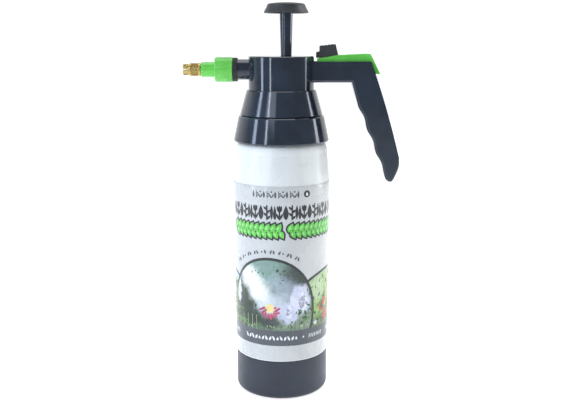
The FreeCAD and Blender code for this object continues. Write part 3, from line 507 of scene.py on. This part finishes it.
def pictureMaterial(name, centre, ground, patches):
    # printed picture under film: soft coloured masses and a leafy mottle; the art map is in millimetres, so
    # the masses are bent over about 6 mm, leaves are about 2.4 mm across and the mottle about 3 mm
    material, tree, shader, place = newMaterial(name)
    art = addNode(tree, "ShaderNodeUVMap", uv_map="art").outputs["UV"]
    local = addNode(tree, "ShaderNodeVectorMath", {0: art, 1: (centre, pictureHeight, 0.0)},
                    operation="SUBTRACT").outputs["Vector"]
    wobble = addNode(tree, "ShaderNodeTexNoise", {"Vector": local, "Scale": 0.16, "Detail": 4.0})
    shift = addNode(tree, "ShaderNodeVectorMath", {0: wobble.outputs["Color"], 1: (0.5, 0.5, 0.5)},
                    operation="SUBTRACT").outputs["Vector"]
    bent = addNode(tree, "ShaderNodeVectorMath", {0: shift, 1: (9.0, 9.0, 0.0), 2: local},
                   operation="MULTIPLY_ADD").outputs["Vector"]
    leaves = addNode(tree, "ShaderNodeTexVoronoi", {"Vector": bent, "Scale": 0.42, "Detail": 2.0,
                                                    "Randomness": 1.0})
    mottle = addNode(tree, "ShaderNodeTexNoise", {"Vector": local, "Scale": 0.35, "Detail": 5.0})
    leafShare = combine(tree, "MULTIPLY", leaves.outputs["Distance"], 0.45)
    mottleShare = combine(tree, "MULTIPLY", mottle.outputs["Fac"], 0.75)
    tone = combine(tree, "ADD", leafShare, mottleShare)
    colour = rampColor(tree, tone, ground)
    for x, y, wide, high, turn, soft, strength, code in patches:
        inside = addNode(tree, "ShaderNodeMapping", {"Vector": bent, "Location": (x, y, 0.0),
                                                     "Rotation": (0.0, 0.0, math.radians(turn)),
                                                     "Scale": (wide, high, 1.0)}, vector_type="TEXTURE")
        flat = addNode(tree, "ShaderNodeVectorMath", {0: inside.outputs["Vector"], 1: (1.0, 1.0, 0.0)},
                       operation="MULTIPLY").outputs["Vector"]
        away = addNode(tree, "ShaderNodeVectorMath", {0: flat}, operation="LENGTH").outputs["Value"]
        mask = spread(tree, away, strength, 0.0, 1.0 - soft, 1.0 + soft)
        mottled = combine(tree, "MULTIPLY", mask, spread(tree, mottle.outputs["Fac"], 0.8, 1.0))
        colour = mixColor(tree, mottled, colour, code)
    tree.links.new(colour, shader.inputs["Base Color"])
    tree.links.new(spread(tree, noiseAt(tree, place, 9.0, 4.0), 0.22, 0.32), shader.inputs["Roughness"])
    shader.inputs["Coat Weight"].default_value = 0.25
    shader.inputs["Coat Roughness"].default_value = 0.1
    return material


def pictureDisc(bm, picture, inset=0.0, rim=0.0):
    made = bmesh.ops.create_circle(bm, cap_ends=True, radius=1.0, segments=120)["verts"]
    bmesh.ops.scale(bm, vec=(picture["wide"] - inset, picture["high"] - inset, 1.0), verts=made)
    bmesh.ops.translate(bm, vec=(picture["x"], pictureHeight, 0.0), verts=made)
    if rim:
        bmesh.ops.inset_region(bm, faces=bm.faces[:], thickness=rim, use_even_offset=True, use_boundary=True)
        bmesh.ops.delete(bm, geom=[face for face in bm.faces if len(face.verts) > 4], context="FACES")
    bmesh.ops.bisect_plane(bm, geom=bm.verts[:] + bm.edges[:] + bm.faces[:], dist=1e-5, clear_inner=True,
                           plane_co=(0, pictureSize["bottom"], 0), plane_no=(0, 1, 0))


def buildPictures():
    greens = [(0.28, "070d0b"), (0.42, "12241a"), (0.56, "2b4a34"), (0.72, "5c7a66")]
    bright = [(0.28, "0f1d0c"), (0.42, "24421b"), (0.56, "4c7a2e"), (0.72, "8fb060")]
    # each patch: x, y, half width, half height, turn, softness, strength, colour
    grounds = {
        "labelPictureMist": (greens, [
            (-4.9, 35, 26, 13, 0, 0.5, 0.75, "86a39d"), (27.1, 27, 17, 17, 20, 0.45, 0.9, "1b2227"),
            (13.1, 21, 14, 9, -30, 0.6, 0.7, "aebcca"), (-22.9, -5, 20, 14, 0, 0.4, 0.85, "122519"),
            (27.1, -11, 18, 8, 0, 0.6, 0.7, "8e9c86"), (-14.9, -16, 36, 4, 0, 0.5, 0.55, "5d6d5b"),
            (-33.9, 33, 8, 9, 0, 0.5, 0.9, "807cb4"), (-27, 6, 11, 22, 0, 0.45, 0.9, "16281f"),
            (-19, 29, 11, 9, -40, 0.6, 0.97, "eef1ea"), (-9.4, 17, 9, 14, 38, 0.55, 0.97, "f2f4f3"),
            (3.1, 6, 14, 8, 20, 0.55, 0.85, "cdd6e2"), (-34.5, 15, 3.6, 12, 0, 0.25, 0.95, "dfe5f1"),
            (-17, -7, 13, 7, 0, 0.5, 0.8, "14281c"), (17.1, -1, 9, 9, 0, 0.3, 0.95, "cbd0e8"),
            (28.1, 10, 9, 13, 8, 0.2, 0.97, "d6daee"), (1.1, -10, 8, 5, 0, 0.5, 0.85, "2a2233")]),
        "labelPictureFruit": (bright, [
            (16, 37, 40, 10, 0, 0.6, 0.6, "b9cfc0"), (-20, 19, 9, 12, 15, 0.5, 0.6, "c9d8c0"),
            (-16, -13, 14, 6, 0, 0.5, 0.8, "24381c"), (22, -11, 30, 8, 0, 0.5, 0.75, "20351a"),
            (40, 23, 14, 12, 0, 0.6, 0.6, "dfe8cf")]),
        "labelPictureGarden": (bright, [
            (0, 36, 48, 16, 0, 0.25, 0.95, "a9c8e2"), (-14, 34, 14, 5, 0, 0.5, 0.8, "f1f4f6"),
            (18, 40, 12, 4, 0, 0.5, 0.8, "f1f4f6"), (0, 16, 48, 5, 0, 0.4, 0.8, "35552c"),
            (0, -8, 48, 12, 0, 0.3, 0.7, "74994c")]),
    }
    for picture in pictures:
        ground, patches = grounds[picture["name"]]
        name = picture["name"].replace("labelP", "p")
        picture["material"] = pictureMaterial(name, picture["x"], ground, patches)
        bm = bmesh.new()
        pictureDisc(bm, picture, 0.6)
        wrapInk(picture["name"], bm, picture["material"], picture["layer"])
        bm = bmesh.new()
        pictureDisc(bm, picture, 0.0, pictureSize["rim"])
        wrapInk(picture["name"] + "Rim", bm, inks["rim"], picture["layer"] + 1)

    stripe = bmesh.new()
    reach = math.pi * labelSizes["unroll"]
    addOutline(stripe, [(-reach, stripeSize["low"]), (reach, stripeSize["low"]), (reach, stripeSize["high"]),
                        (-reach, stripeSize["high"])])
    wrapInk("labelStripe", stripe, inks["slate"], 7)
    outlines = []
    for start in (-33.0, 54.0, -120.0):
        for i in range(15):
            x = start + i * 3.3
            if i % 5 == 4:
                outlines.append(drop(x, stripeSize["marks"] - 0.6, 1.0))
            elif i % 2:
                outlines.append(leaf(x - 0.7, stripeSize["marks"] - 2.0, 4.2, 1.8, 66))
            else:
                outlines.append(leaf(x + 0.7, stripeSize["marks"] - 2.0, 4.2, 1.8, 112))
                outlines.append(disc(x - 0.9, stripeSize["marks"] + 1.4, 0.6, 10))
        outlines.append(disc(start + 53.0, stripeSize["marks"], 0.8, 12))
        outlines += [bar(start + 59.0 + 2.1 * i, stripeSize["marks"], 0.7, 3.4, -14) for i in range(8)]
    inkFrom("labelStripeMarks", outlines, inks["white"], 8)

    chance = random.Random(7)
    sprays = {ink: [] for ink in ("leafDeep", "leafMid", "leafPale", "earth", "magenta", "yellow", "lilac",
                                  "red")}
    mist, fruit, garden = pictures
    base = pictureSize["bottom"] + 0.3

    def grow(picture, ink, count, left, right, low, high, length, width, angles):
        for _ in range(count):
            x = chance.uniform(left, right)
            y = chance.uniform(low, high)
            size = chance.uniform(*length)
            if math.hypot(x / (picture["wide"] - size - 2), y / (picture["high"] - size - 2)) < 1:
                sprays[ink].append(leaf(picture["x"] + x, pictureHeight + y, size, size * width,
                                        chance.uniform(*angles), 5))

    grow(mist, "leafDeep", 34, -36, 0, -16, 3, (3, 6), 0.42, (20, 160))
    grow(mist, "leafMid", 22, -34, 34, -16, -9, (2, 4.5), 0.3, (50, 130))
    grow(mist, "leafPale", 18, -30, 34, -16, -13, (1.5, 3), 0.3, (40, 140))
    grow(mist, "leafMid", 16, -26, 14, 34, 44, (1.5, 3), 0.5, (0, 360))
    grow(mist, "leafDeep", 16, 6, 30, 24, 40, (1.5, 3.5), 0.5, (0, 360))
    for x in (-27.5, -21.5, -16.5, -12.0, 19.0, 22.5, 27.0, 31.0):
        height = 13 if x < 0 else 9
        stalk = bar(mist["x"] + x, base + height / 2, 0.45, height)
        sprays["leafPale" if x < 0 else "leafDeep"].append(stalk)
    for i in range(22):
        turn = math.radians(-200 + 220 * i / 21)
        reach = 4.2 + 1.6 * (i % 3)
        sprays["magenta"].append(leaf(mist["x"] + 0.4 + reach * math.cos(turn) * 0.9,
                                      pictureHeight + 1.6 + reach * math.sin(turn) * 0.8, 3.2, 2.0,
                                      math.degrees(turn) + 14 * (i % 2)))
    for i in range(12):
        sprays["yellow"].append(leaf(mist["x"] + 0.6, pictureHeight + 3.0, 5.0 - 0.6 * (i % 2), 2.2, 30 * i))
    petals = ((26, 1, 15, 68), (30, 0, 17, 92), (24, 4, 12, 118), (15, -4, 11, 72), (18, -6, 11, 108))
    for x, y, size, turn in petals:
        sprays["lilac"].append(leaf(mist["x"] + x, pictureHeight + y, size, size * 0.5, turn))

    grow(fruit, "leafDeep", 70, -46, 46, -16, 30, (3, 6), 0.45, (0, 360))
    grow(fruit, "leafMid", 80, -46, 46, -16, 30, (2.5, 6), 0.42, (0, 360))
    grow(fruit, "leafPale", 60, -46, 46, -16, 30, (2, 4), 0.38, (0, 360))
    for x, y, size in ((-13, 0, 4.7), (-6, -9, 5.2), (-8, 5, 3.2), (4, 12, 4.6), (12, 1, 5.6), (0, -1, 3.6),
                       (26, 13, 4.4), (24, -4, 5.0), (15, -10, 4.4), (36, -4, 4.0)):
        sprays["red"].append(disc(fruit["x"] + x, pictureHeight + y, size, 22, 0.94))
        crownY = pictureHeight + y + size * 0.75
        sprays["leafMid"] += [leaf(fruit["x"] + x, crownY, size * 0.8, size * 0.3, turn)
                              for turn in (15, 60, 120, 165)]
    for i in range(5):
        sprays["lilac"].append(leaf(fruit["x"] - 22.0, pictureHeight - 13, 2.6, 1.5, 72 * i + 18))

    for rank in range(5):
        y = -14 + 5.2 * rank
        gap = 7.5 - rank
        for i in range(-6, 7):
            x = i * gap
            if math.hypot(x / 44, y / 30) < 1:
                size = 5.4 - 0.8 * rank
                for turn in (52, 90, 128):
                    sprays["leafDeep" if rank % 2 else "leafMid"].append(
                        leaf(garden["x"] + x, pictureHeight + y, size, size * 0.34, turn))
        sprays["earth"].append(bar(garden["x"], pictureHeight + y - 0.9, 2 * (36 - 2 * rank), 0.8))
    grow(garden, "leafDeep", 40, -34, 34, 12, 20, (2, 4.5), 0.5, (0, 180))
    for ink, outlines in sprays.items():
        inkFrom("labelPrint" + ink[0].upper() + ink[1:], outlines, inks[ink], 7 if ink != "magenta" else 7.4)
    print("label pictures ready")


badgeSizes = {"x": 113.0, "low": 92.0, "pitch": 17.0, "radius": 5.6, "ring": 0.7}
lapSizes = {"start": 121.5, "end": 129.5, "low": 36.1, "high": 187.9}


def buildBadges():  # round badges and the film's lapped end at the back
    size = badgeSizes
    for i in range(4):
        y = size["low"] + size["pitch"] * i
        inkFrom(f"labelBadge{i}", [disc(size["x"], y, size["radius"], 40)], inks["slate"], 1)
        inkFrom(f"labelBadgeFace{i}", [disc(size["x"], y, size["radius"] - size["ring"], 40)],
                finishes["label_film"], 2)
        if i == 0:
            glyph = [drop(size["x"], y - 0.9, 1.9)]
        elif i == 1:
            glyph = [leaf(size["x"], y - 3.4, 6.8, 3.4, 90)]
        elif i == 2:
            glyph = [leaf(size["x"], y, 3.8, 1.5, 45 * k) for k in range(8)]
        else:
            glyph = [bar(size["x"], y, 0.8, 6.4, 60 * k) for k in range(3)]
        inkFrom(f"labelBadgeGlyph{i}", glyph, inks["grey"], 3)
    lap = bmesh.new()
    start, end, low, high = lapSizes.values()
    addOutline(lap, [(start, low), (end, low), (end, high), (start, high)])
    wrapInk("labelLap", lap, finishes["label_film"], 9)


buildLabel()
buildHeadings()
buildPictures()
buildBadges()


# turned and moulded pieces that stand for their CAD nodes

# the nozzle and the nut are turned upright, then laid along -X at the outlet's height
outletHeight = 282.0
nozzleAxis = Matrix.Translation((0, 0, outletHeight)) @ Matrix.Rotation(math.radians(-90), 4, "Y")


def repeatAround(bm, verts, count):  # copies of a closed shape, evenly round the axis
    edges = list({edge for vert in verts for edge in vert.link_edges})
    faces = list({face for vert in verts for face in vert.link_faces})
    bmesh.ops.spin(bm, geom=list(verts) + edges + faces, cent=(0, 0, 0), axis=(0, 0, 1),
                   angle=2 * math.pi * (1 - 1 / count), steps=count - 1, use_duplicate=True)


brassSizes = {"rear": 68.1, "front": 78.0, "nose": 83.2, "radius": 5.4, "noseRadius": 4.55, "bore": 4.35,
              "mouth": 2.6, "prongs": 6, "slot": 17.0, "ridges": 40, "ridge": 0.34}


def buildBrassNozzle():
    size = brassSizes
    bm = bmesh.new()
    knurlStart, knurlEnd = size["rear"] + 2.2, size["front"] - 1.6
    core = size["radius"] - size["ridge"]
    lathe(bm, [(size["bore"], size["rear"], 0.15), (size["radius"], size["rear"], 0.4),
               (size["radius"], knurlStart, 0.2), (core, knurlStart + 0.35), (core, knurlEnd - 0.35),
               (size["radius"], knurlEnd, 0.2), (size["radius"], size["front"], 0.5),
               (size["noseRadius"], size["front"] + 0.02), (size["noseRadius"], size["front"] + 1.0),
               (size["mouth"], size["front"] + 1.0, 0.2), (size["mouth"], size["front"] + 0.5, 0.1),
               (0.5, size["front"] - 0.5), (0.5, size["front"] - 1.0), (1.4, size["front"] - 1.4),
               (size["bore"] - 0.3, size["front"] - 1.4), (size["bore"], size["front"] - 1.9)], steps=80)
    half = size["ridge"] / 2
    ridge = block(bm, (core - 0.1, -half, knurlStart + 0.3), (size["radius"] - 0.03, half, knurlEnd - 0.3),
                  0.1, 1)
    repeatAround(bm, ridge, size["ridges"])
    share = 1 / size["prongs"] - size["slot"] / 360
    for prong in range(size["prongs"]):
        made = lathe(bm, [(size["mouth"], size["front"] + 0.9), (size["noseRadius"], size["front"] + 0.9),
                          (size["noseRadius"], size["nose"], 0.3), (size["mouth"], size["nose"], 0.25)],
                     turns=share, steps=6)
        ends = [edge for edge in {edge for face in made for edge in face.edges} if edge.is_boundary]
        caps = bmesh.ops.holes_fill(bm, edges=ends, sides=0)["faces"]
        turn = 360 / size["prongs"] * prong + size["slot"] / 2 + 30
        verts = list({vert for face in made + caps for vert in face.verts})
        bmesh.ops.rotate(bm, cent=(0, 0, 0), matrix=Matrix.Rotation(math.radians(turn), 3, "Z"), verts=verts)
    bmesh.ops.transform(bm, matrix=nozzleAxis, verts=bm.verts[:])
    return finishPiece("brassNozzle", bm, finishes["brass"], "spray_cap", ("brass_nozzle",), sharp=30)


nutSizes = {"rear": 41.1, "front": 56.2, "radius": 10.45, "bore": 8.3, "wall": 2.4, "mouth": 6.8,
            "flutes": 30, "flute": 0.12}


def buildOutletNut():
    size = nutSizes
    bm = bmesh.new()
    lathe(bm, [(size["bore"], size["rear"], 0.2), (size["radius"], size["rear"], 0.5),
               (size["radius"], size["rear"] + 1.5, 0.15),
               (size["radius"] - size["flute"], size["rear"] + 1.7, 0.1),
               (size["radius"] - 0.08, size["front"], 0.9), (size["mouth"], size["front"], 0.3),
               (size["mouth"], size["front"] - size["wall"]), (size["bore"], size["front"] - size["wall"])],
          steps=120)
    rib = block(bm, (size["radius"] - 0.6, -0.3, size["rear"] + 1.4),
                (size["radius"] - 0.02, 0.3, size["front"] - 1.3), 0.2, 2)
    repeatAround(bm, rib, size["flutes"])
    bmesh.ops.transform(bm, matrix=nozzleAxis, verts=bm.verts[:])
    return finishPiece("outletNut", bm, finishes["green_plastic"], "nut", ("outlet_nut",), sharp=30)


knobSizes = {"x": 4.2, "rim": 329.4, "height": 7.2, "rimRadius": 18.9, "topRadius": 15.5, "socket": 5.75,
             "hub": 9.0, "hubDrop": 0.8, "hollow": 4.2, "webs": 6}


def buildKnob():
    size = knobSizes
    bm = bmesh.new()
    rim, top = size["rim"], size["rim"] + size["height"]
    low, hollow = rim + size["hubDrop"], rim + size["hollow"]
    lathe(bm, [(size["socket"], low, 0.2), (size["hub"], low, 0.3), (size["hub"], hollow, 0.6),
               (14.4, hollow - 0.5, 0.8),
               (size["rimRadius"] - 1.7, rim - 0.2, 0.3), (size["rimRadius"] - 0.7, rim - 0.8, 0.35),
               (size["rimRadius"], rim, 0.45), (size["rimRadius"] - 0.5, rim + 1.1, 0.8),
               (size["topRadius"] + 1.0, rim + 4.4, 1.2), (size["topRadius"] + 0.4, top - 0.7, 0.9),
               (size["topRadius"] - 1.2, top + 0.1, 0.9), (0.5 * size["topRadius"], top + 0.8, 1.5),
               (3.6, top + 1.0, 0.3), (3.2, top + 0.75, 0.2), (0, top + 0.8), (0, hollow),
               (size["socket"], hollow)], steps=120)
    for web in range(size["webs"]):  # webs in the hollow underside
        verts = block(bm, (8.8, -0.7, rim + 0.6), (15.4, 0.7, rim + 4.4), 0.2, 1)
        turn = Matrix.Rotation(2 * math.pi * web / size["webs"], 3, "Z")
        bmesh.ops.rotate(bm, cent=(0, 0, 0), matrix=turn, verts=verts)
    bmesh.ops.translate(bm, vec=(size["x"], 0, 0), verts=bm.verts[:])
    return finishPiece("pumpKnob", bm, finishes["knob_plastic"], "pump", ("pump_knob",), sharp=30)


# soft edges on the moulded nodes, in millimetres
edgeRounds = {"thumb_lever": 0.45, "lock_button": 0.4, "top_cap": 0.2, "screw_collar": 0.25, "base_cup": 0.3,
              "nozzle_holder": 0.2}


def roundEdges():
    for node, width in edgeRounds.items():
        rounding = frame["nodes"][node].modifiers.new("roundedEdges", "BEVEL")
        rounding.width = width * mm
        rounding.segments = 3
        rounding.limit_method = "ANGLE"
        rounding.angle_limit = math.radians(50)
        rounding.use_clamp_overlap = True
        rounding.harden_normals = True


buildBrassNozzle()
buildOutletNut()
buildKnob()
roundEdges()
print("turned pieces ready")


# stage, light and camera

stageLook = {"paper": "f2f3f3", "glow": 0.62, "radius": 2.6, "sky": "f6f8fa", "skyFront": 0.33,
             "skyBack": 1.15}
cameraLook = {"place": (0.0074, -0.705, 0.3086), "tilt": 11.2, "lens": 50.9, "sensor": 36}
# compass angle from the camera's side, distance, height, size, watts, colour and the height it faces
studioLights = {
    "stripFarLeft": (-69, 1.3, 0.62, (0.2, 1.5), 8.5, "d2e2ff", 0.2),
    "stripLeft": (-37.5, 1.35, 0.62, (0.1, 1.5), 5, "e4eeff", 0.2),
    "softboxLeft": (-31, 1.5, 1.1, (0.8, 0.8), 5, "dfeaff", 0.2),
    "stripRight": (102, 1.3, 0.62, (0.42, 1.5), 12, "f2f6ff", 0.2),
    "top": (170, 0.3, 1.9, (1.2, 1.2), 9, "ffffff", 0.0),
}


def areaLight(name, azimuth, distance, height, size, power, colour, aim):
    light = bpy.data.lights.new(name, "AREA")
    light.shape = "RECTANGLE"
    light.size, light.size_y = size
    light.energy = power
    light.color = hexColor(colour)[:3]
    lamp = bpy.data.objects.new(name, light)
    turn = math.radians(azimuth)
    lamp.location = (distance * math.sin(turn), -distance * math.cos(turn), height)
    lamp.rotation_euler = (Vector((0, 0, aim)) - lamp.location).to_track_quat("-Z", "Y").to_euler()
    bpy.context.scene.collection.objects.link(lamp)


def buildStage():
    bm = bmesh.new()
    bmesh.ops.create_circle(bm, cap_ends=True, radius=stageLook["radius"], segments=96)
    mesh = bpy.data.meshes.new("floor")
    bm.to_mesh(mesh)
    bm.free()
    floor = bpy.data.objects.new("floor", mesh)
    bpy.context.scene.collection.objects.link(floor)
    material, tree, shader, place = newMaterial("paleStudioPaper")
    shader.inputs["Base Color"].default_value = hexColor(stageLook["paper"])
    shader.inputs["Roughness"].default_value = 0.9
    grain = addNode(tree, "ShaderNodeBump", {"Height": noiseAt(tree, place, 1.5, 3.0), "Distance": 0.03 * mm})
    tree.links.new(grain.outputs["Normal"], shader.inputs["Normal"])
    # painted light: the paper glows, strongest behind and under the bottle and fading to none towards the
    # front
    deep = addNode(tree, "ShaderNodeSeparateXYZ", {"Vector": place}).outputs["Y"]
    tree.links.new(spread(tree, deep, 0.0, stageLook["glow"], -0.9, 0.1), shader.inputs["Emission Strength"])
    shader.inputs["Emission Color"].default_value = hexColor("ffffff")
    floor.data.materials.append(material)
    world = bpy.data.worlds.new("studio")
    world.use_nodes = True
    tree = world.node_tree
    sky = addNode(tree, "ShaderNodeTexCoord").outputs["Generated"]
    deep = addNode(tree, "ShaderNodeSeparateXYZ", {"Vector": sky}).outputs["Y"]
    glow = spread(tree, deep, stageLook["skyFront"], stageLook["skyBack"], -0.14, 0.5)
    seen = addNode(tree, "ShaderNodeLightPath").outputs["Is Camera Ray"]  # the backdrop itself stays white
    backdrop = combine(tree, "MAXIMUM", glow, combine(tree, "MULTIPLY", seen, stageLook["skyBack"]))
    tree.links.new(backdrop, tree.nodes["Background"].inputs["Strength"])
    tree.nodes["Background"].inputs["Color"].default_value = hexColor(stageLook["sky"])
    bpy.context.scene.world = world
    for name, settings in studioLights.items():
        areaLight(name, *settings)
    bpy.context.scene.view_settings.view_transform = "Standard"


def buildCamera():
    camera = bpy.data.cameras.new("camera")
    camera.sensor_width = cameraLook["sensor"]
    camera.lens = cameraLook["lens"]
    eye = bpy.data.objects.new("camera", camera)
    eye.location = cameraLook["place"]
    eye.rotation_euler = (math.radians(90 - cameraLook["tilt"]), 0, 0)
    bpy.context.scene.collection.objects.link(eye)
    bpy.context.scene.camera = eye


buildStage()
buildCamera()
print("stage and camera ready")
